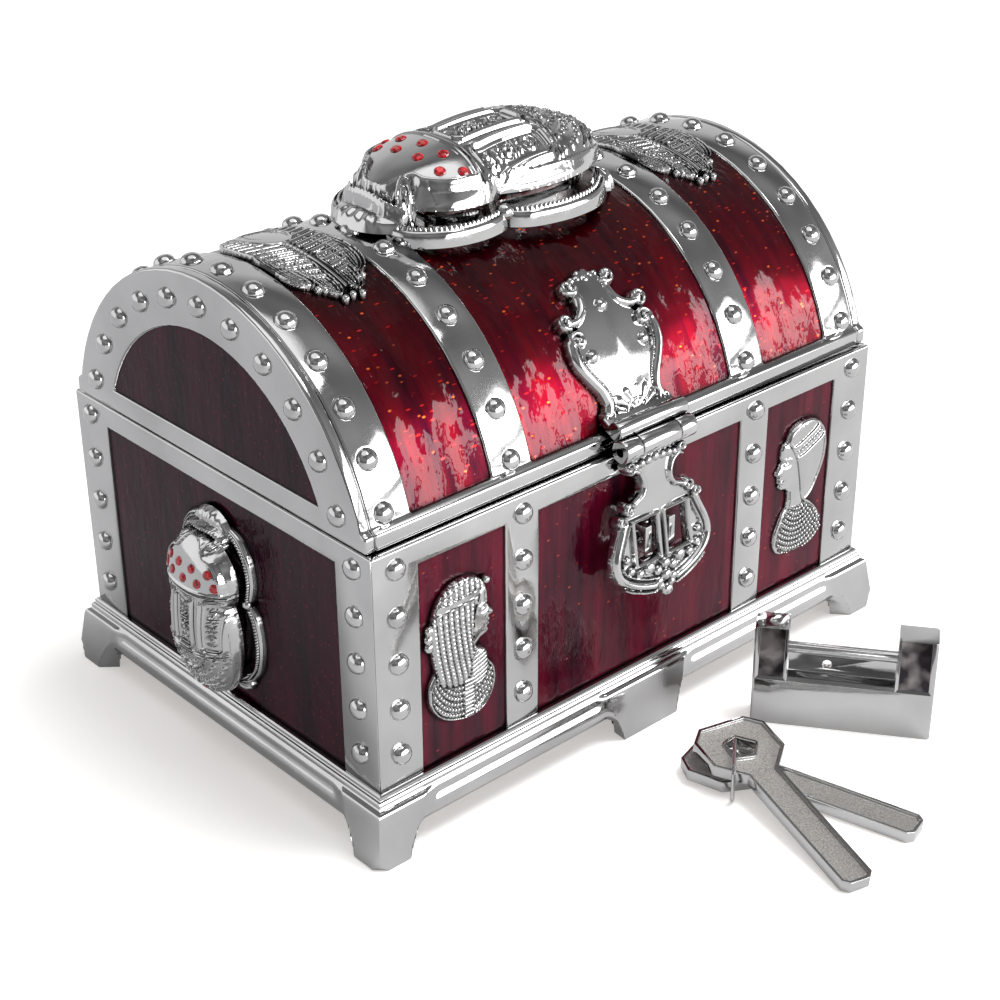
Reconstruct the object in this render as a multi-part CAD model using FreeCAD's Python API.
import FreeCAD, Part
import math
import os

from FreeCAD import Vector

# Chest body
body_length = 170.0
body_depth = 120.0
seam_height = 80.0
plinth_height = 18.0
wall = 3.0
recess = 1.6
enamel_thickness = 0.8
corner_strap = 13.4
inner_strap = 10.4
strap_place_share = 0.473
top_rail = 6.0

# Dome studs
stud_radius = 2.3
stud_height = 1.5
stud_sides = 6
stud_tier_shares = [(1.0, 0.0), (0.62, 1.0)]
stud_rows = 5
stud_drop = 4.7
stud_foot = 8.1
stud_lip_gap = 0.2

# Lid
lid_gap = 0.3
lid_inset = 1.7
lid_rim = 4.0
lid_lip = 0.8
arch_swell = 0.3
arch_drop = 10.6
arch_step_angle = 5.5
lid_wall = 3.6
lid_end = 3.0
lid_band = 12.4
lid_end_band = 14.6
band_stud_count = 13
lunette_margin = 14.0
lunette_sill = 5.5
end_stud_count = 11
end_stud_angle = 14.1
bed_gap = 0.05
lid_lining_angle = 76.0

# Plinth
step_out = 0.8
step_down = 1.7
step_count = 3
foot_out = 5.2
foot_height = 4.5
foot_length = 11.5
foot_thickness = 4.5
foot_chamfer = 3.2
middle_foot = 22.0
arch_gap = 6.2
arch_corner = 5.0
ledge_width = 6.0
ledge_thickness = 2.4
floor_thickness = 2.4
floor_drop = 5.0
bead_shares = (0.74, 0.30)
hollow_shares = [(0.08, 0.34), (0.22, 0.60), (0.50, 0.83)]

# Linings and base screws
lining = 0.8
lining_gap = 0.1
lining_drop = 1.0
screw_radius = 1.2
screw_head_radius = 2.2
screw_head = 1.1
screw_tip = 0.4
screw_clearance = 0.05
screw_sides = 6

# Back hinges
hinge_width = 20.0
hinge_leaf = 1.0
hinge_leaf_height = 4.8
hinge_leaf_drop = 0.6
hinge_offset = 1.2
knuckle_radius = 1.9
knuckle_sides = 12
hinge_pin_radius = 0.9
pin_clearance = 0.05
knuckle_gap = 0.2

# Hasp
hasp_pivot_out = 3.2
hasp_pivot_rise = 2.2
hasp_barrel_radius = 2.9
hasp_barrel_length = 24.0
hasp_barrel_sides = 16
hasp_middle_knuckle = 13.2
hasp_pin_radius = 1.1
hasp_plate_foot = 0.9
hasp_plate_run_share = 0.4727
hasp_plate_width = 27.0
hasp_plate_thickness = 2.4
hasp_web_angle = 2.2
hasp_web_shares = [(0.0, 0.92), (0.93, 0.2)]
leaf_width = 33.0
leaf_drop = 42.0
leaf_thickness = 2.4
leaf_standoff = 0.4
leaf_rest_angle = 9.0
window_width = 5.3
window_height = 9.2
window_drop = 20.6
window_bar = 5.4
window_bar_thickness = 1.0
window_relief = 1.4
window_relief_length = 7.4
rivet_radius = 1.5
rivet_height = 1.1
rivet_sides = 6
rivet_top_share = 0.5
rivet_shares = [(-0.62, 0.34), (0.62, 0.34), (0.0, 0.62), (0.0, 0.80)]
staple_plate = 0.8
staple_plate_width = 13.0
staple_plate_height = 9.0
lug_thickness = 2.0
lug_height = 7.0
lug_side_gap = 0.4
lug_end = 1.0
lug_hole_clearance = 0.15

# Castings on the panels
scarab_reach = 5.0
scarab_width_share = 0.654
scarab_height_share = 0.263
scarab_place = -3.0
scarab_overhang = 0.3
end_scarab_margin = 3.0
end_scarab_drop = 1.2
end_scarab_width_share = 0.66
end_scarab_height_share = 0.27
leg_width_share = 0.045
leg_height_share = 0.05
leg_bends = 6
dome_sides = 12
dome_tier_angles = [0, 36, 72]
gem_radius = 1.15
gem_stand = 0.6
gem_seat = 0.9
gem_clearance = 0.05
gem_sides = 6
gem_table_share = 0.7
wing_length = 46.0
wing_margin = 0.5
wing_thickness = 2.0
wing_angle = 2.0
emblem_margin = 0.6
emblem_height_share = 0.714
emblem_thickness = 2.4
emblem_rise_share = 0.161

# Padlock
lock_along = 20.3
lock_setback = 20.7
lock_turn_angle = -53.6
lock_length = 45.7
lock_depth = 8.0
lock_block = 13.2
lock_height = 28.6
lock_post_near = 8.6
lock_post_far = 9.8
lock_web = 2.0
lock_web_height = 5.6
lock_hole_radius = 1.2
lock_hole_along = 18.5
lock_hole_rise = 2.6
lock_edge = 0.6
bolt_radius = 1.5
bolt_rise = 21.6
bolt_seat = 5.0
bolt_setback = 3.6
bolt_clearance = 0.05

# Keys
key_along = 0.7
key_setback = 34.9
key_bow_width = 20.6
key_bow_length = 19.7
key_blade_length = 40.5
key_blade_width = 8.6
key_thickness = 3.0
key_rim = 0.9
key_dish = 0.8
key_hole_width = 7.4
key_tip_corner = 1.6
upper_key_turn_angle = -105.2
upper_key_tilt_angle = 6.7
upper_key_lift = 5.95
lower_key_turn_angle = -74.0
lower_key_tilt_angle = 1.35
lower_key_lift = 1.22
lower_key_back = 3.4
wire_radius = 0.5
wire_lift = 0.05
wire_span = 13.5
wire_height = 10.4
wire_corner = 1.6
wire_turn_angle = -139.5
wire_sides = 8

# Shared by every cut
overrun = 2.0

# From the middle of the chest forward to the middle of the whole set, where the origin is
origin_setback = 39.5

# Outlines as shares of their own half width and height
leaf_outline_shares = [(0.40, 0.04), (0.46, 0.09), (0.61, 0.11), (0.64, 0.14), (0.56, 0.18), (0.38, 0.23),
                       (0.33, 0.29), (0.38, 0.35), (0.62, 0.37), (0.66, 0.40), (0.80, 0.42), (0.85, 0.46),
                       (0.82, 0.50), (0.94, 0.56), (1.00, 0.64), (0.97, 0.71), (0.86, 0.77), (0.78, 0.83),
                       (0.60, 0.87), (0.36, 0.91), (0.24, 0.96)]
plate_outline_shares = [(0.88, 0.00), (0.90, 0.12), (0.80, 0.22), (0.92, 0.30), (1.00, 0.38), (0.96, 0.45),
                        (0.78, 0.52), (0.88, 0.60), (0.97, 0.68), (0.92, 0.75), (0.66, 0.78), (0.54, 0.84),
                        (0.48, 0.93), (0.24, 0.98)]
wing_outline_shares = [(0.30, 0.02), (0.62, 0.07), (0.86, 0.18), (0.97, 0.32), (1.00, 0.48), (0.95, 0.64),
                       (0.80, 0.80), (0.54, 0.91), (0.26, 0.98)]
left_emblem_shares = [(0.02, 0.20), (0.03, 0.08), (0.12, 0.02), (0.50, 0.04), (0.86, 0.03), (0.97, 0.10),
                      (0.99, 0.22), (0.84, 0.32), (0.72, 0.38), (0.74, 0.46), (0.82, 0.54), (0.87, 0.66),
                      (0.86, 0.80), (0.74, 0.93), (0.52, 1.00), (0.30, 0.96), (0.15, 0.85), (0.10, 0.68),
                      (0.10, 0.48), (0.06, 0.32)]
right_emblem_shares = [(0.04, 0.16), (0.08, 0.06), (0.18, 0.02), (0.50, 0.04), (0.82, 0.02), (0.92, 0.06),
                       (0.96, 0.16), (0.84, 0.27), (0.68, 0.34), (0.68, 0.42), (0.82, 0.50), (0.88, 0.64),
                       (0.84, 0.80), (0.70, 0.94), (0.46, 1.00), (0.24, 0.94), (0.12, 0.80), (0.10, 0.62),
                       (0.18, 0.48), (0.30, 0.40), (0.30, 0.33), (0.16, 0.27)]
bow_outline_shares = [(0.63, 0.00), (1.00, 0.20), (1.00, 0.68), (0.42, 1.00)]
bow_hole_shares = [(-0.5, 0.02), (0.0, 0.50), (0.46, 0.12), (0.34, -0.42), (-0.34, -0.42)]

# Scarab parts as shares of length, width and height: place along, half length, half width, height
wing_case_shares = (-0.14, 0.36, 0.40, 1.00)
thorax_shares = (0.17, 0.23, 0.42, 0.97)
head_shares = (0.37, 0.13, 0.24, 0.56)
leg_shares = [((0.20, 0.40), (0.38, 0.30), (0.38, 0.08)),
              ((0.38, 0.06), (0.48, -0.17), (0.29, -0.40))]
gem_shares = [(0.0, 0.30), (-0.14, 0.295), (0.14, 0.295), (-0.26, 0.27), (0.26, 0.27), (-0.06, 0.255),
              (0.06, 0.255), (-0.18, 0.24), (0.18, 0.24), (-0.30, 0.21), (0.30, 0.21)]
tail_gem_shares = [(0.0, -0.44)]
arc_middle_share = 1 - math.sqrt(0.5)

# Sizes that follow from the ones above
half_length = body_length / 2
half_depth = body_depth / 2
panel_top = seam_height - top_rail
lid_base = seam_height + lid_gap
lid_half_depth = half_depth - lid_inset
lid_half_length = half_length - lid_end
arch_radius = lid_half_depth + arch_swell
arch_centre = seam_height - arch_drop
lip_top = lid_base + lid_rim + lid_lip
lid_inner_radius = arch_radius - lid_wall
lid_floor_radius = arch_radius - recess
lid_enamel_radius = lid_floor_radius + enamel_thickness
lid_panel_angle = math.degrees(math.acos((lip_top - arch_centre) / arch_radius))
band_stud_reach_angle = lid_panel_angle - math.degrees((stud_radius + stud_lip_gap) / arch_radius)
lunette_radius = arch_radius - lunette_margin
panel_height = panel_top - plinth_height
stud_pitch = (seam_height - plinth_height - stud_drop - stud_foot) / (stud_rows - 1)
inner_strap_place = half_length * strap_place_share
outer_panel_width = half_length - corner_strap - inner_strap_place - inner_strap / 2
outer_panel_place = half_length - corner_strap - outer_panel_width / 2
outer_lid_width = half_length - lid_end_band - inner_strap_place - lid_band / 2
wing_place = half_length - lid_end_band - outer_lid_width / 2
wing_width = outer_lid_width - 2 * wing_margin
emblem_width = outer_panel_width - 2 * emblem_margin
emblem_height = panel_height * emblem_height_share
emblem_rise = panel_height * emblem_rise_share
scarab_length = 2 * (inner_strap_place - lid_band / 2 + scarab_reach)
end_scarab_length = panel_height - 2 * end_scarab_margin
end_scarab_rise = panel_height / 2 - end_scarab_drop
hasp_plate_height = arch_radius * math.radians(lid_panel_angle) * hasp_plate_run_share
hasp_plate_angle = lid_panel_angle - math.degrees((hasp_plate_foot + hasp_plate_height / 2) / arch_radius)
enamel_face = half_depth - recess + enamel_thickness
end_enamel_face = half_length - recess + enamel_thickness
ledge_top = plinth_height - floor_drop
ledge_bottom = ledge_top - ledge_thickness
floor_top = ledge_top + floor_thickness
hasp_pivot_y = -(half_depth + hasp_pivot_out)
hasp_pivot_z = seam_height + hasp_pivot_rise
leaf_back = -(half_depth + leaf_standoff)
window_middle = hasp_pivot_z - window_drop - window_height / 2
hinge_y = half_depth + hinge_leaf + hinge_offset
hinge_z = seam_height + lid_gap / 2
key_reach = key_bow_length / 2 + key_blade_length
x_axis = Vector(1, 0, 0)
y_axis = Vector(0, 1, 0)
z_axis = Vector(0, 0, 1)
origin = Vector(0, 0, 0)
parts = {}


def block(low, high):
    size = Vector(*high) - Vector(*low)
    return Part.makeBox(size.x, size.y, size.z, Vector(*low))


def closed_face(edges):
    return Part.Face(Part.Wire(Part.__sortEdges__([edge.toShape() for edge in edges])))


def polygon_face(points):
    return Part.Face(Part.makePolygon(points + points[:1]))


def plan_prism(points, base, height):
    return polygon_face([Vector(x, y, base) for x, y in points]).extrude(Vector(0, 0, height))


def facet_solid(rings, closed=False):
    # flat faces between rings of as many points each, capped at both ends unless the rings close on themselves
    faces = []
    follow = rings[1:] + rings[:1] if closed else rings[1:]
    for ring, after in zip(rings, follow):
        for count in range(len(ring)):
            faces.append(polygon_face([ring[count - 1], ring[count], after[count], after[count - 1]]))
    if not closed:
        faces += [polygon_face(rings[0]), polygon_face(rings[-1])]
    shape = Part.makeSolid(Part.makeShell(faces))
    if shape.Volume < 0:
        shape.reverse()
    return shape


def ring_points(radius, sides, z):
    turns = [2 * math.pi * side / sides for side in range(sides)]
    return [Vector(radius * math.cos(turn), radius * math.sin(turn), z) for turn in turns]


def x_cylinder(radius, low, high, y, z):
    return Part.makeCylinder(radius, high - low, Vector(low, y, z), x_axis)


def x_prism(radius, sides, low, high, y, z):
    ring = ring_points(radius, sides, 0)
    return facet_solid([[Vector(x, y + point.x, z + point.y) for point in ring] for x in (low, high)])


def fused(shapes):
    return shapes[0].multiFuse(shapes[1:]).removeSplitter()


def turned(shape, quarters):
    copy = shape.copy()
    copy.rotate(origin, z_axis, 90 * quarters)
    return copy


def on_lid(shape, along, angle):
    # local Z is the distance from the arch axis, local Y climbs towards the apex
    copy = shape.copy()
    copy.rotate(origin, x_axis, angle)
    copy.translate(Vector(along, 0, arch_centre))
    return copy


# Walls, enamel fills and studs of the body
def panel_fields(run):
    edge = run - corner_strap
    if run < half_length:
        return [(-edge, edge)]
    near = inner_strap_place - inner_strap / 2
    far = inner_strap_place + inner_strap / 2
    return [(-edge, -far), (-near, near), (far, edge)]


def wall_casting(run, reach):
    plan = [(-run, -reach), (run, -reach), (run - wall, wall - reach), (wall - run, wall - reach)]
    casting = plan_prism(plan, plinth_height, seam_height - plinth_height)
    for low, high in panel_fields(run):
        field = block((low, -reach - overrun, plinth_height - overrun), (high, recess - reach, panel_top))
        casting = casting.cut(field)
    return casting


def enamel_fill(reach, low, high):
    back = recess - reach
    return block((low, back - enamel_thickness, plinth_height), (high, back, panel_top))


def stud():
    return facet_solid([ring_points(stud_radius * radius, stud_sides, stud_height * height)
                        for radius, height in stud_tier_shares])


def wall_studs(columns, reach):
    pattern = stud()
    pattern.rotate(origin, x_axis, 90)
    studs = []
    for along in columns:
        for row in range(stud_rows):
            one = pattern.copy()
            one.translate(Vector(along, -reach, seam_height - stud_drop - row * stud_pitch))
            studs.append(one)
    return Part.makeCompound(studs)


def build_walls():
    front_edge = half_length - corner_strap / 2
    end_edge = half_depth - corner_strap / 2
    front_columns = [-front_edge, -inner_strap_place, inner_strap_place, front_edge]
    for name, quarters in (("front", 0), ("back", 2)):
        parts[name + "_wall"] = turned(wall_casting(half_length, half_depth), quarters)
        parts[name + "_studs"] = turned(wall_studs(front_columns, half_depth), quarters)
        for place, (low, high) in zip(("left", "centre", "right"), panel_fields(half_length)):
            parts["enamel_" + name + "_" + place] = turned(enamel_fill(half_depth, low, high), quarters)
    for name, quarters in (("left", -1), ("right", 1)):
        parts[name + "_wall"] = turned(wall_casting(half_depth, half_length), quarters)
        parts[name + "_studs"] = turned(wall_studs([-end_edge, end_edge], half_length), quarters)
        low, high = panel_fields(half_depth)[0]
        parts["enamel_" + name + "_end"] = turned(enamel_fill(half_length, low, high), quarters)


# Plinth, floor plate and screws
def skirt_point(reach, out, height):
    return Vector(0, -reach - out, height)


def skirt_face(reach):
    points = []
    out = 0
    height = plinth_height
    for step in range(step_count):
        bead_out = out + step_out * bead_shares[0]
        bead_height = height - step_down * bead_shares[1]
        points += [skirt_point(reach, out, height), skirt_point(reach, bead_out, bead_height)]
        out = out + step_out
        height = height - step_down
    points.append(skirt_point(reach, out, height))
    for out_share, down_share in hollow_shares:
        points.append(skirt_point(reach, out + (foot_out - out) * out_share,
                                  height - (height - foot_height) * down_share))
    inner = foot_out - foot_thickness
    shelf = -wall - ledge_width
    corners = [(foot_out, foot_height), (foot_out, 0), (inner, 0), (inner, foot_height), (-wall, ledge_bottom),
               (shelf, ledge_bottom), (shelf, ledge_top), (-wall, ledge_top), (-wall, plinth_height)]
    return polygon_face(points + [skirt_point(reach, *corner) for corner in corners])


def foot_gap(reach, low, high):
    top = arch_gap
    bend = arch_corner * arc_middle_share
    at = lambda x, z: Vector(x, -reach - foot_out - overrun, z)
    edges = [Part.LineSegment(at(low, -overrun), at(low, top - arch_corner)),
             Part.Arc(at(low, top - arch_corner), at(low + bend, top - bend), at(low + arch_corner, top)),
             Part.LineSegment(at(low + arch_corner, top), at(high - arch_corner, top)),
             Part.Arc(at(high - arch_corner, top), at(high - bend, top - bend), at(high, top - arch_corner)),
             Part.LineSegment(at(high, top - arch_corner), at(high, -overrun)),
             Part.LineSegment(at(high, -overrun), at(low, -overrun))]
    return closed_face(edges).extrude(Vector(0, foot_out + wall + ledge_width + 2 * overrun, 0))


def foot_facet(run, reach, side):
    steps_out = step_count * step_out
    top = Vector(side * (run + steps_out), -reach - steps_out, plinth_height - step_count * step_down)
    inset = foot_out - foot_chamfer / 2
    low = Vector(side * (run + inset), -reach - inset, 0)
    foot = low + (low - top) * (overrun / top.z)
    across = Vector(side * foot_length, foot_length, 0)
    face = polygon_face([top - across, top + across, foot + across, foot - across])
    return face.extrude(Vector(side * foot_length, -foot_length, 0))


def plinth_side(run, reach, middle):
    outer = foot_out + overrun
    inner = wall + ledge_width + overrun
    bar = skirt_face(reach)
    bar.translate(Vector(-run - outer, 0, 0))
    bar = bar.extrude(Vector(2 * (run + outer), 0, 0))
    mitre = plan_prism([(-run - outer, -reach - outer), (run + outer, -reach - outer),
                        (run - inner, inner - reach), (inner - run, inner - reach)],
                       -overrun, plinth_height + 2 * overrun)
    side = bar.common(mitre)
    edge = run + foot_out - foot_length
    gaps = [(-edge, -middle / 2), (middle / 2, edge)] if middle else [(-edge, edge)]
    for low, high in gaps:
        side = side.cut(foot_gap(reach, low, high))
    for turn in (-1, 1):
        side = side.cut(foot_facet(run, reach, turn))
    return side


def screw_places():
    y = half_depth - wall - ledge_width / 2
    return [(x, side * y) for side in (-1, 1) for x in (-half_length / 2, half_length / 2)]


def screw_bores():
    radius = screw_radius + screw_clearance
    height = ledge_thickness + floor_thickness
    pattern = facet_solid([ring_points(radius, screw_sides, ledge_bottom - overrun / 2),
                           ring_points(radius, screw_sides, ledge_bottom + height + overrun / 2)])
    return [pattern.translated(Vector(x, y, 0)) for x, y in screw_places()]


def build_base():
    bores = Part.makeCompound(screw_bores())
    for name, quarters in (("front", 0), ("back", 2)):
        parts["plinth_" + name] = turned(plinth_side(half_length, half_depth, middle_foot), quarters).cut(bores)
    for name, quarters in (("left", -1), ("right", 1)):
        parts["plinth_" + name] = turned(plinth_side(half_depth, half_length, 0), quarters)
    x = half_length - wall
    y = half_depth - wall
    parts["floor_plate"] = block((-x, -y, ledge_top), (x, y, floor_top)).cut(bores)
    head = facet_solid([ring_points(screw_head_radius, screw_sides, ledge_bottom - screw_head),
                        ring_points(screw_head_radius, screw_sides, ledge_bottom)])
    shank = facet_solid([ring_points(screw_radius, screw_sides, ledge_bottom),
                         ring_points(screw_radius, screw_sides, floor_top - screw_tip)])
    screw = head.fuse(shank)
    parts["base_screws"] = Part.makeCompound([screw.translated(Vector(x, y, 0)) for x, y in screw_places()])
    x = x - lining_gap
    y = y - lining_gap
    tray = block((-x, -y, floor_top), (x, y, seam_height - lining_drop))
    hollow = block((lining - x, lining - y, floor_top + lining), (x - lining, y - lining, seam_height))
    parts["tray_lining"] = tray.cut(hollow)


# Lid
def arch_point(radius, angle, x=0):
    turn = math.radians(angle)
    return Vector(x, -radius * math.sin(turn), arch_centre + radius * math.cos(turn))


def arch_run(radius, angle, x):
    # narrow flats from the front over the top to the back, in step on every arch so that they nest
    steps = math.ceil(angle / arch_step_angle) - 1
    inner = [step * arch_step_angle for step in range(steps, -steps - 1, -1)]
    return [arch_point(radius, turn, x) for turn in [angle] + inner + [-angle]]


def lid_outline(x):
    # rim, lip and arch, from the front corner over the top to the back corner
    rim_top = lid_base + lid_rim
    front = [Vector(x, -lid_half_depth, lid_base), Vector(x, -lid_half_depth, rim_top)]
    back = [Vector(x, lid_half_depth, rim_top), Vector(x, lid_half_depth, lid_base)]
    return front + arch_run(arch_radius, lid_panel_angle, x) + back


def sector(low_radius, high_radius, angle, low, high):
    outline = arch_run(high_radius, angle, low) + arch_run(low_radius, angle, low)[::-1]
    return polygon_face(outline).extrude(Vector(high - low, 0, 0))


def arch_block(radius, low, high):
    outline = arch_run(radius, lid_panel_angle, low) + [Vector(low, 0, arch_centre)]
    return polygon_face(outline).extrude(Vector(high - low, 0, 0))


def lid_fields():
    near = inner_strap_place - lid_band / 2
    far = inner_strap_place + lid_band / 2
    edge = half_length - lid_end_band
    return [(-edge, -far), (-near, near), (far, edge)]


def lid_barrel():
    x = -lid_half_length
    inner_angle = math.degrees(math.acos((lid_base - arch_centre) / lid_inner_radius))
    outline = lid_outline(x) + arch_run(lid_inner_radius, inner_angle, x)[::-1]
    barrel = polygon_face(outline).extrude(Vector(2 * lid_half_length, 0, 0))
    for low, high in lid_fields():
        barrel = barrel.cut(sector(lid_floor_radius, arch_radius + overrun, lid_panel_angle, low, high))
    return barrel


def lunette(low, high):
    angle = math.degrees(math.acos((lid_base + lunette_sill - arch_centre) / lunette_radius))
    return polygon_face(arch_run(lunette_radius, angle, low)).extrude(Vector(high - low, 0, 0))


def end_plate():
    plate = polygon_face(lid_outline(lid_half_length)).extrude(Vector(lid_end, 0, 0))
    return plate.cut(lunette(half_length - recess, half_length + overrun))


def end_plate_studs():
    pattern = stud()
    pattern.rotate(origin, y_axis, 90)
    radius = (arch_radius + lunette_radius) / 2
    studs = []
    for place in range(end_stud_count):
        one = pattern.copy()
        one.translate(arch_point(radius, (place - (end_stud_count - 1) / 2) * end_stud_angle, half_length))
        studs.append(one)
    return Part.makeCompound(studs)


def band_studs():
    pattern = stud()
    pattern.translate(Vector(0, 0, arch_radius))
    end_band_place = half_length - lid_end_band / 2
    studs = []
    for along in (-end_band_place, -inner_strap_place, inner_strap_place, end_band_place):
        for place in range(band_stud_count):
            turn_share = 2 * place / (band_stud_count - 1) - 1
            studs.append(on_lid(pattern, along, turn_share * band_stud_reach_angle))
    return Part.makeCompound(studs)


def build_lid():
    parts["lid_barrel"] = lid_barrel()
    for place, (low, high) in zip(("left", "centre", "right"), lid_fields()):
        parts["enamel_lid_" + place] = sector(lid_floor_radius + bed_gap, lid_enamel_radius,
                                              lid_panel_angle, low, high)
    fill = lunette(half_length - recess, half_length - recess + enamel_thickness)
    for name, quarters in (("right", 0), ("left", 2)):
        parts["lid_" + name + "_end"] = turned(end_plate(), quarters)
        parts["enamel_lid_" + name + "_end"] = turned(fill, quarters)
        parts["lid_" + name + "_studs"] = turned(end_plate_studs(), quarters)
    parts["lid_band_studs"] = band_studs()
    skin = lid_inner_radius - bed_gap
    reach = lid_half_length - lining_gap
    parts["lid_lining"] = sector(skin - lining, skin, lid_lining_angle, -reach, reach)


# Back hinges
def hinge_halves(place):
    half = hinge_width / 2
    middle = half / 2
    bore = x_cylinder(hinge_pin_radius + pin_clearance, -half - overrun, half + overrun, hinge_y, hinge_z)
    clear = middle + knuckle_gap
    swing = x_cylinder(knuckle_radius + knuckle_gap, -clear, clear, hinge_y, hinge_z)
    leaf_top = seam_height - hinge_leaf_drop
    body = [block((-half, half_depth, leaf_top - hinge_leaf_height), (half, half_depth + hinge_leaf, leaf_top)),
            x_prism(knuckle_radius, knuckle_sides, -half, -middle, hinge_y, hinge_z),
            x_prism(knuckle_radius, knuckle_sides, middle, half, hinge_y, hinge_z)]
    body = fused(body).cut(swing).cut(bore)
    inner = middle - knuckle_gap
    web_low = hinge_z + hinge_pin_radius - lid_gap
    rim_top = lid_base + lid_rim - lid_gap
    lid = [block((-half, lid_half_depth, web_low), (half, lid_half_depth + hinge_leaf, rim_top)),
           block((-inner, lid_half_depth, web_low), (inner, hinge_y, hinge_z + knuckle_radius)),
           x_prism(knuckle_radius, knuckle_sides, -inner, inner, hinge_y, hinge_z)]
    lid = fused(lid).cut(bore)
    pin = x_cylinder(hinge_pin_radius, -half, half, hinge_y, hinge_z)
    for shape in (body, lid, pin):
        shape.translate(Vector(place, 0, 0))
    return body, lid, pin


def build_hinges():
    sets = [hinge_halves(place) for place in (-outer_panel_place, outer_panel_place)]
    names = ("body_hinge_leaves", "lid_hinge_leaves", "hinge_pins")
    for name, pieces in zip(names, zip(*sets)):
        parts[name] = Part.makeCompound(list(pieces))


# Hasp
def half_outline(shares, half_width, height):
    right = [(half_width * across, height * along) for across, along in shares]
    left = [(-x, along) for x, along in reversed(right)]
    return right, left


def curved_relief(points, thickness, along, angle):
    # a relief of even thickness lying on the enamel, local Y along the arch from the middle of the relief
    inner = lid_enamel_radius + bed_gap
    blank = polygon_face([Vector(x, y, inner / 2) for x, y in points]).extrude(Vector(0, 0, arch_radius))
    skin = sector(inner, inner + thickness, lid_panel_angle, -half_length, half_length)
    return on_lid(blank, along, angle).common(skin)


def hasp_plate():
    right, left = half_outline(plate_outline_shares, hasp_plate_width / 2, hasp_plate_height)
    base = hasp_plate_height / 2
    points = [(x, v - base) for x, v in right + [(0, hasp_plate_height)] + left]
    plate = curved_relief(points, hasp_plate_thickness, 0, hasp_plate_angle)
    foot_angle = hasp_plate_angle + math.degrees(base / arch_radius) - hasp_web_angle
    inner = lid_enamel_radius + bed_gap
    section = [arch_point(inner, foot_angle), arch_point(inner + hasp_plate_thickness, foot_angle)]
    for out, up in hasp_web_shares:
        section.append(Vector(0, hasp_pivot_y + hasp_barrel_radius * out,
                              hasp_pivot_z + hasp_barrel_radius * up))
    half = hasp_barrel_length / 2
    web = polygon_face(section)
    web.translate(Vector(-half, 0, 0))
    web = web.extrude(Vector(hasp_barrel_length, 0, 0))
    middle = hasp_middle_knuckle / 2
    barrels = [x_prism(hasp_barrel_radius, hasp_barrel_sides, low, high, hasp_pivot_y, hasp_pivot_z)
               for low, high in ((-half, -middle), (middle, half))]
    swing = x_cylinder(hasp_barrel_radius + knuckle_gap, -middle, middle, hasp_pivot_y, hasp_pivot_z)
    bore = x_cylinder(hasp_pin_radius + pin_clearance, -half - overrun, half + overrun,
                      hasp_pivot_y, hasp_pivot_z)
    return plate.multiFuse([web] + barrels).cut(swing).cut(bore)


def leaf_block(edges, high, low, front, back):
    # front and back are measured outwards from the back face of the leaf
    return block((edges[0], leaf_back - front, low), (edges[1], leaf_back - back, high))


def hasp_leaf():
    right, left = half_outline(leaf_outline_shares, leaf_width / 2, -leaf_drop)
    outline = right + [(0, -leaf_drop)] + left
    plate = polygon_face([Vector(x, leaf_back - leaf_thickness, hasp_pivot_z + v) for x, v in outline])
    plate = plate.extrude(Vector(0, leaf_thickness, 0))
    half = hasp_barrel_length / 2 + overrun
    middle = hasp_middle_knuckle / 2 - knuckle_gap
    for low, high in ((-half, -middle), (middle, half)):
        plate = plate.cut(x_cylinder(hasp_barrel_radius + leaf_standoff, low, high, hasp_pivot_y, hasp_pivot_z))
    leaf = fused([plate, x_prism(hasp_barrel_radius, hasp_barrel_sides, -middle, middle,
                                 hasp_pivot_y, hasp_pivot_z)])
    leaf = leaf.cut(x_cylinder(hasp_pin_radius + pin_clearance, -half, half, hasp_pivot_y, hasp_pivot_z))
    high = window_middle + window_height / 2
    low = window_middle - window_height / 2
    bar = window_bar / 2
    lug_far = bar + lug_thickness + 2 * lug_side_gap
    front = leaf_thickness + overrun
    leaf = leaf.cut(leaf_block((-bar, bar), high, low, front, window_bar_thickness))
    for side in (-1, 1):
        window = sorted((side * bar, side * (bar + window_width)))
        relief = sorted((side * bar, side * lug_far))
        leaf = leaf.cut(leaf_block(window, high, low, front, -overrun))
        leaf = leaf.cut(leaf_block(relief, low + overrun, low - window_relief_length, window_relief, -overrun))
    leaf.rotate(Vector(0, hasp_pivot_y, hasp_pivot_z), x_axis, -leaf_rest_angle)
    return leaf


def hasp_staple():
    front = enamel_face + staple_plate
    hole = bolt_radius + lug_hole_clearance
    bolt_y = half_depth + leaf_standoff + window_bar_thickness + lug_hole_clearance + hole
    tip = bolt_y + hole + lug_end
    half = staple_plate_height / 2
    pieces = [block((-staple_plate_width / 2, -front, window_middle - half),
                    (staple_plate_width / 2, -enamel_face, window_middle + half))]
    lug = lug_height / 2
    near = window_bar / 2 + lug_side_gap
    for low in (-near - lug_thickness, near):
        high = low + lug_thickness
        pieces.append(block((low, -tip, window_middle - lug), (high, -front, window_middle + lug)))
    return fused(pieces).cut(x_cylinder(hole, -leaf_width, leaf_width, -bolt_y, window_middle))


def hasp_rivets():
    pattern = facet_solid([ring_points(rivet_radius, rivet_sides, 0),
                           ring_points(rivet_radius * rivet_top_share, rivet_sides, rivet_height)])
    pattern.translate(Vector(0, 0, lid_enamel_radius + bed_gap + hasp_plate_thickness))
    rivets = []
    for across, along in rivet_shares:
        angle = hasp_plate_angle + math.degrees((0.5 - along) * hasp_plate_height / arch_radius)
        rivets.append(on_lid(pattern, across * hasp_plate_width / 2, angle))
    return Part.makeCompound(rivets)


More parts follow.
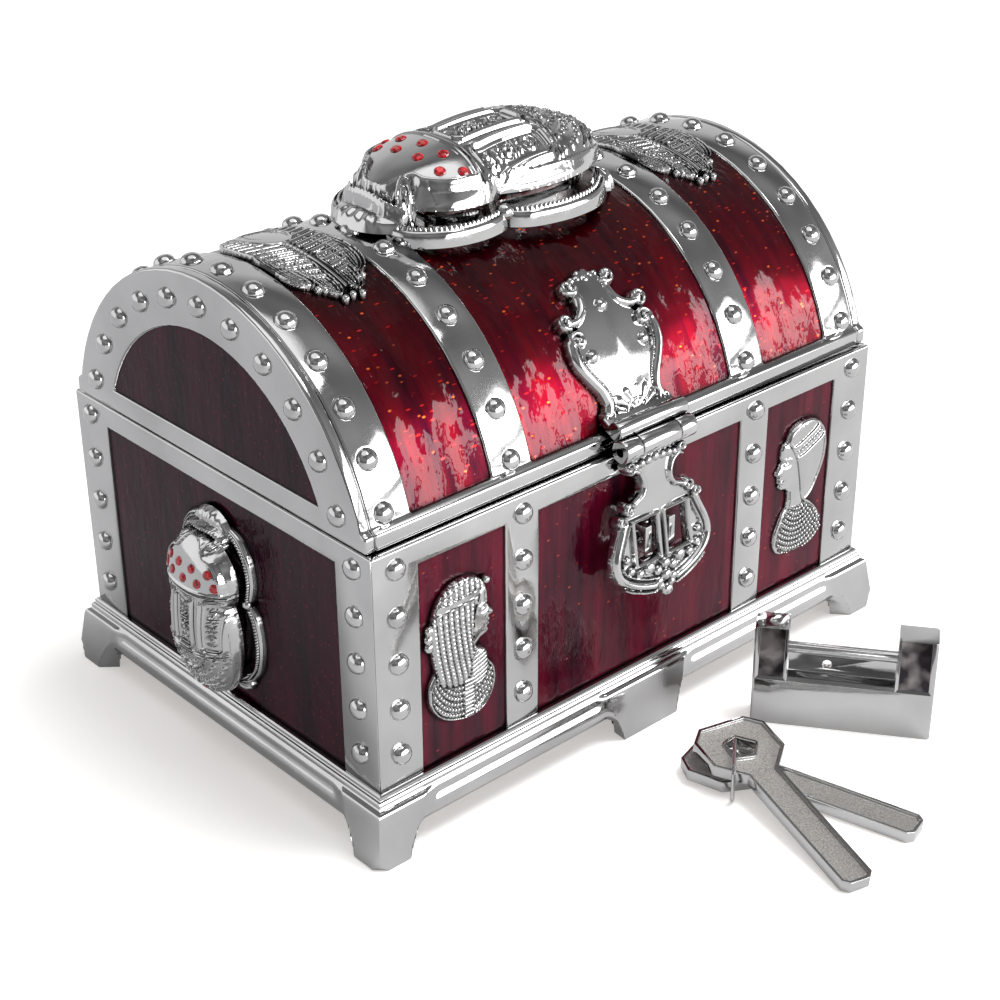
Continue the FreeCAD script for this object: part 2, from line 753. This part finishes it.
def build_hasp():
    parts["hasp_plate"] = hasp_plate()
    parts["hasp_leaf"] = hasp_leaf()
    parts["hasp_staple"] = hasp_staple()
    parts["hasp_rivets"] = hasp_rivets()
    half = hasp_barrel_length / 2
    parts["hasp_pin"] = x_cylinder(hasp_pin_radius, -half, half, hasp_pivot_y, hasp_pivot_z)


# Scarabs, modelled with the head towards local +Y and the ground at local Z = 0
def dome_sizes(shares, size):
    length, width, height, sag = size
    along, half_long, half_wide, rise = shares
    return along * length, Vector(half_wide * width, half_long * length, rise * height + sag)


def dome(shares, size):
    along, half = dome_sizes(shares, size)
    rings = []
    for angle in dome_tier_angles:
        spread = math.cos(math.radians(angle))
        height = half.z * math.sin(math.radians(angle)) - size[3]
        ring = ring_points(half.x * spread, dome_sides, height)
        rings.append([Vector(point.x, along + point.y * half.y / half.x, height) for point in ring])
    return facet_solid(rings)


def dome_seat(shares, size, across, along):
    # point on the dome and the way out of its surface there
    middle, half = dome_sizes(shares, size)
    x = across * size[1]
    y = along * size[0]
    rise = half.z * math.sqrt(1 - (x / half.x) ** 2 - ((y - middle) / half.y) ** 2)
    outward = Vector(x / half.x ** 2, (y - middle) / half.y ** 2, rise / half.z ** 2)
    return FreeCAD.Placement(Vector(x, y, rise - size[3]), FreeCAD.Rotation(z_axis, outward))


def leg(route, length, width, height):
    # an upright ribbon bent to the circle through three points
    points = [Vector(across * width, along * length, -height) for across, along in route]
    bend = Part.Circle(*points)
    middle = bend.Center
    half = leg_width_share * length / 2
    sides = []
    for radius in (bend.Radius - half, bend.Radius + half):
        sides.append([middle + (point - middle) * (radius / bend.Radius) for point in points])
    inner, outer = [Part.Arc(*side).toShape().discretize(leg_bends) for side in sides]
    return polygon_face(inner + outer[::-1]).extrude(Vector(0, 0, 2 * height))


def gem(radius, top):
    return facet_solid([ring_points(radius, gem_sides, -gem_seat),
                        ring_points(radius * gem_table_share, gem_sides, top)])


def scarab(length, width_share, height_share, tail_gems, bed_radius):
    # bed_radius is the arch under the casting, or 0 on a flat panel
    width = length * width_share
    height = length * height_share
    widest = thorax_shares[2] * width
    sag = bed_radius - math.sqrt(bed_radius ** 2 - widest ** 2) if bed_radius else 0
    size = (length, width, height, sag)
    leg_height = leg_height_share * length
    if bed_radius:
        bed = arch_block(bed_radius, -length, length)
        roof = arch_block(bed_radius + leg_height, -length, length)
        for shape in (bed, roof):
            shape.translate(Vector(0, 0, -arch_centre - bed_radius))
            shape.rotate(origin, z_axis, 90)
    else:
        bed = block((-width, -length, -height), (width, length, 0))
        roof = block((-width, -length, -height), (width, length, leg_height))
    pieces = [dome(shares, size) for shares in (wing_case_shares, thorax_shares, head_shares)]
    for route in leg_shares:
        right = leg(route, length, width, height).common(roof)
        pieces += [right, right.mirror(origin, x_axis)]
    casting = pieces[0].multiFuse(pieces[1:]).cut(bed)
    seats = [dome_seat(thorax_shares, size, *shares) for shares in gem_shares]
    seats += [dome_seat(wing_case_shares, size, *shares) for shares in tail_gems]
    gems = []
    for seat in seats:
        bore = facet_solid([ring_points(gem_radius + gem_clearance, gem_sides, height)
                            for height in (-gem_seat, overrun)])
        bore.Placement = seat
        casting = casting.cut(bore)
        stone = gem(gem_radius, gem_stand)
        stone.Placement = seat
        gems.append(stone)
    return casting, Part.makeCompound(gems)


def build_scarabs():
    bed_radius = lid_enamel_radius + bed_gap
    pair = scarab(scarab_length, scarab_width_share, scarab_height_share, [], bed_radius)
    for shape in pair:
        shape.rotate(origin, z_axis, 90)
        shape.translate(Vector(scarab_place, 0, arch_centre + bed_radius))
    over = arch_radius + stud_height + scarab_overhang
    edge = lid_fields()[1][1] - scarab_overhang
    casting = pair[0]
    for low, high in ((-half_length, -edge), (edge, half_length)):
        casting = casting.cut(arch_block(over, low, high))
    parts["top_scarab"] = casting
    parts["top_scarab_gems"] = pair[1]
    for name, side in (("left", -1), ("right", 1)):
        pair = scarab(end_scarab_length, end_scarab_width_share, end_scarab_height_share, tail_gem_shares, 0)
        for shape in pair:
            shape.rotate(origin, x_axis, 90)
            shape.rotate(origin, z_axis, 90 * side)
            shape.translate(Vector(side * end_enamel_face, 0, plinth_height + end_scarab_rise))
        parts[name + "_scarab"] = pair[0]
        parts[name + "_scarab_gems"] = pair[1]


# Reliefs on the lid and front panels
def build_reliefs():
    right, left = half_outline(wing_outline_shares, wing_width / 2, wing_length)
    outline = [(x, along - wing_length / 2) for x, along in right + left]
    for name, side in (("left", -1), ("right", 1)):
        parts[name + "_wing_emblem"] = curved_relief(outline, wing_thickness, side * wing_place, wing_angle)
    for name, side, shares in (("left", -1, left_emblem_shares), ("right", 1, right_emblem_shares)):
        low = side * outer_panel_place - emblem_width / 2
        base = plinth_height + emblem_rise
        outline = [Vector(low + across * emblem_width, -enamel_face, base + up * emblem_height)
                   for across, up in shares]
        parts[name + "_emblem"] = polygon_face(outline).extrude(Vector(0, -emblem_thickness, 0))


# Padlock: front face at local Y = 0, length along local X
def padlock_body():
    far = lock_length - lock_post_far
    bar = block((0, 0, 0), (lock_length, lock_depth, lock_height))
    upright = [edge for edge in bar.Edges if abs(edge.Vertexes[0].Z - edge.Vertexes[1].Z) > lock_block]
    bar = bar.makeChamfer(lock_edge, upright)
    web_front = lock_depth - lock_web
    bar = bar.cut(block((lock_post_near, -overrun, lock_block), (far, web_front, lock_height + overrun)))
    bar = bar.cut(block((lock_post_near, web_front - overrun, lock_block + lock_web_height),
                        (far, lock_depth + overrun, lock_height + overrun)))
    bar = bar.cut(x_cylinder(bolt_radius + bolt_clearance, lock_post_near - bolt_seat, lock_length + overrun,
                             bolt_setback, bolt_rise))
    return bar.cut(Part.makeCylinder(lock_hole_radius, lock_depth, Vector(lock_hole_along, web_front - overrun,
                                                                          lock_block + lock_hole_rise), y_axis))


def build_padlock():
    parts["padlock_body"] = padlock_body()
    parts["padlock_bolt"] = x_cylinder(bolt_radius, lock_post_near - bolt_seat + bolt_clearance, lock_length,
                                       bolt_setback, bolt_rise)
    for name in ("padlock_body", "padlock_bolt"):
        parts[name].rotate(origin, z_axis, lock_turn_angle)
        parts[name].translate(Vector(lock_along, -half_depth - lock_setback, 0))


# Keys: bow centre at the local origin, blade along local X
def key_outline():
    half = key_bow_width / 2
    back = -key_bow_length / 2
    right = [(back + along * key_bow_length, half * across) for across, along in bow_outline_shares]
    tip = key_reach - key_tip_corner
    blade = key_blade_width / 2
    right += [(tip, blade), (key_reach, blade - key_tip_corner)]
    return right + [(x, -y) for x, y in reversed(right)]


def key_blank():
    face = polygon_face([Vector(x, y, 0) for x, y in key_outline()])
    blank = face.extrude(Vector(0, 0, key_thickness))
    dish = face.makeOffset2D(-key_rim)
    dish.translate(Vector(0, 0, key_thickness - key_dish))
    dish = dish.extrude(Vector(0, 0, key_dish + overrun))
    hole = [(key_hole_width * across, key_hole_width * along) for across, along in bow_hole_shares]
    hole_face = polygon_face([Vector(x, y, 0) for x, y in hole])
    collar = hole_face.makeOffset2D(key_rim).extrude(Vector(0, 0, key_thickness))
    hole_face.translate(Vector(0, 0, -overrun))
    bore = hole_face.extrude(Vector(0, 0, key_thickness + 2 * overrun))
    return blank.cut(dish).fuse(collar).removeSplitter().cut(bore)


def placed_key(turn, tilt, x, y, lift):
    key = key_blank()
    key.rotate(origin, y_axis, tilt)
    key.rotate(origin, z_axis, turn)
    key.translate(Vector(x, y, lift))
    return key


def key_wire(x, y):
    # upright loop from the holes over the edge of both bows, bent from straight lengths with cut corners
    low = wire_lift + wire_radius
    high = low + wire_height
    corner = wire_corner
    path = [(0, low + corner), (corner, low), (wire_span - corner, low), (wire_span, low + corner),
            (wire_span, high - corner), (wire_span - corner, high), (corner, high), (0, high - corner)]
    points = [Vector(along, 0, z) for along, z in path]
    rings = []
    for count, point in enumerate(points):
        before = (point - points[count - 1]).normalize()
        after = (points[(count + 1) % len(points)] - point).normalize()
        mitre = (after - before).normalize()
        stretch = 1 / math.cos(before.getAngle(after) / 2)
        rings.append([point + mitre * (spot.x * stretch) + y_axis * spot.y
                      for spot in ring_points(wire_radius, wire_sides, 0)])
    loop = facet_solid(rings, True)
    loop.rotate(origin, z_axis, wire_turn_angle)
    loop.translate(Vector(x, y, 0))
    return loop


def build_keys():
    x = key_along
    y = -half_depth - key_setback
    turn = math.radians(lower_key_turn_angle)
    low_x = x - lower_key_back * math.cos(turn)
    low_y = y - lower_key_back * math.sin(turn)
    parts["upper_key"] = placed_key(upper_key_turn_angle, upper_key_tilt_angle, x, y, upper_key_lift)
    parts["lower_key"] = placed_key(lower_key_turn_angle, lower_key_tilt_angle, low_x, low_y, lower_key_lift)
    parts["key_wire"] = key_wire((x + low_x) / 2, (y + low_y) / 2)


build_walls()
build_base()
build_lid()
build_hinges()
build_hasp()
build_scarabs()
build_reliefs()
build_padlock()
build_keys()
os.makedirs("parts", exist_ok=True)
for name, shape in parts.items():
    shape.translate(Vector(0, origin_setback, 0))
    shape.exportStep("parts/" + name + ".step")
